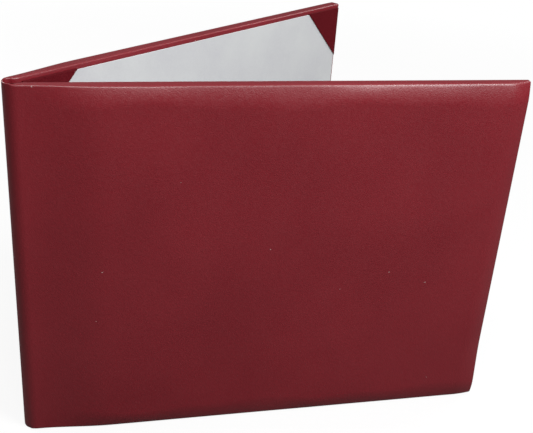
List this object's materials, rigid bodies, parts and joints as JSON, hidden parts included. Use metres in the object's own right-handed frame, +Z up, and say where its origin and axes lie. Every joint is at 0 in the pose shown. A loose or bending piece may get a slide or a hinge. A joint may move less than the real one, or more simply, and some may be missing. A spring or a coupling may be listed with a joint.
{
  "type": "padded diploma cover",
  "caption": "Landscape padded leatherette cover for a certificate, two hinged covers on a round spine, lined inside with corner holders.",
  "frame": {"origin": "middle of the footprint, on the surface that the cover stands on", "axes": "+Z up along the spine, +X from the spine towards the fore-edges, the back cover on the +Y side"},
  "size_m": [0.2926, 0.2114, 0.232],
  "materials": {
    "leatherette": "satin, very fine grain",
    "thin_leatherette": "satin",
    "liner_card": "matt",
    "chipboard": "matt",
    "foam": "matt open-cell foam"
  },
  "bodies": {
    "spine": {"spine_leatherette": "leatherette", "spine_lining": "thin_leatherette"},
    "back_cover": {"back_leatherette": "leatherette", "back_foam_pad": "foam", "back_board": "chipboard", "back_liner": "liner_card", "back_hinge_lining": "thin_leatherette", "corner_holder_top_spine": "thin_leatherette", "corner_holder_bottom_spine": "thin_leatherette", "corner_holder_top_fore": "thin_leatherette", "corner_holder_bottom_fore": "thin_leatherette"},
    "front_cover": {"front_leatherette": "leatherette", "front_foam_pad": "foam", "front_board": "chipboard", "front_liner": "liner_card", "front_hinge_lining": "thin_leatherette"}
  },
  "joints": [
    {"name": "back_hinge", "type": "hinge", "parent": "spine", "child": "back_cover", "pos_m": [-0.14451, 0.0048, 0.116], "axis": [0, 0, 1], "range_deg": [-18.75, 71.25]},
    {"name": "front_hinge", "type": "hinge", "parent": "spine", "child": "front_cover", "pos_m": [-0.14451, -0.0048, 0.116], "axis": [0, 0, -1], "range_deg": [-18.75, 71.25]}
  ]
}
